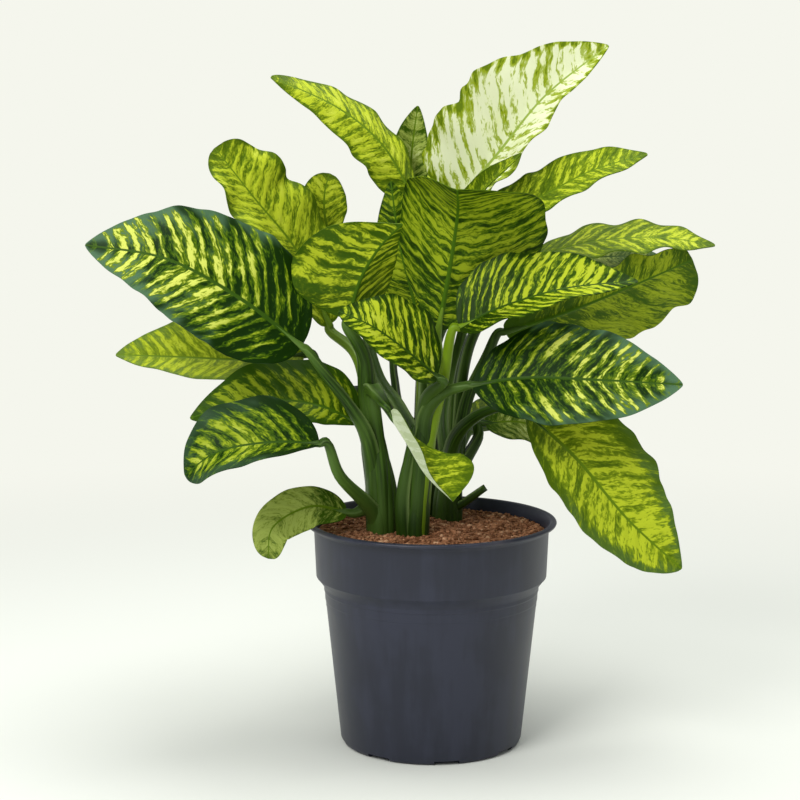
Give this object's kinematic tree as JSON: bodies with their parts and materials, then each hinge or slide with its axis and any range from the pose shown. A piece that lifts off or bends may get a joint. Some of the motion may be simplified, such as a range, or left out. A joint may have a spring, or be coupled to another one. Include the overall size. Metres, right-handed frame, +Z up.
{
  "type": "potted dieffenbachia",
  "caption": "Dieffenbachia house plant in a round tapered nursery pot: canes in soil, arching leaf stalks and large oval leaves streaked yellow and cream between their veins.",
  "frame": {"origin": "middle of the pot's underside, on the surface that the pot stands on", "axes": "+Z up along the pot's axis; -Y towards the front of the plant, the side that the picture shows"},
  "size_m": [0.5834, 0.3855, 0.668],
  "materials": {
    "pot": "satin",
    "soil": "matte",
    "stalk": "satin",
    "leaf_dark": "satin",
    "leaf_mid": "satin",
    "leaf_light": "satin",
    "leaf_cream": "satin"
  },
  "bodies": {
    "root": {"pot": "pot", "soil": "soil", "shoot_left": "stalk", "shoot_middle": "stalk", "shoot_right": "stalk", "shoot_back": "stalk", "leaf_far_left": "leaf_dark", "leaf_second_left": "leaf_light", "leaf_third_left": "leaf_mid", "leaf_low_left_dome": "leaf_dark", "leaf_small_low_left": "leaf_mid", "leaf_upper_left": "leaf_light", "leaf_striped_left": "leaf_mid", "leaf_folded_front": "leaf_light", "leaf_centre_front": "leaf_dark", "leaf_centre_tall": "leaf_mid", "leaf_centre_behind": "leaf_dark", "leaf_right_yellow": "leaf_light", "leaf_right_dark": "leaf_dark", "leaf_right_hanging": "leaf_mid", "leaf_right_pale": "leaf_mid", "leaf_right_low_behind": "leaf_dark", "leaf_right_level": "leaf_mid", "leaf_top_left_long": "leaf_light", "leaf_top_right_bright": "leaf_cream", "leaf_small_rolled": "leaf_mid", "leaf_right_upper": "leaf_light", "leaf_right_behind": "leaf_dark", "leaf_small_behind_left": "leaf_light", "leaf_young_top": "leaf_mid", "leaf_back_left": "leaf_mid", "leaf_back_middle": "leaf_light", "leaf_back_right": "leaf_dark", "leaf_back_low_left": "leaf_dark", "leaf_back_high": "leaf_light", "leaf_back_low_right": "leaf_mid"}
  },
  "joints": []
}
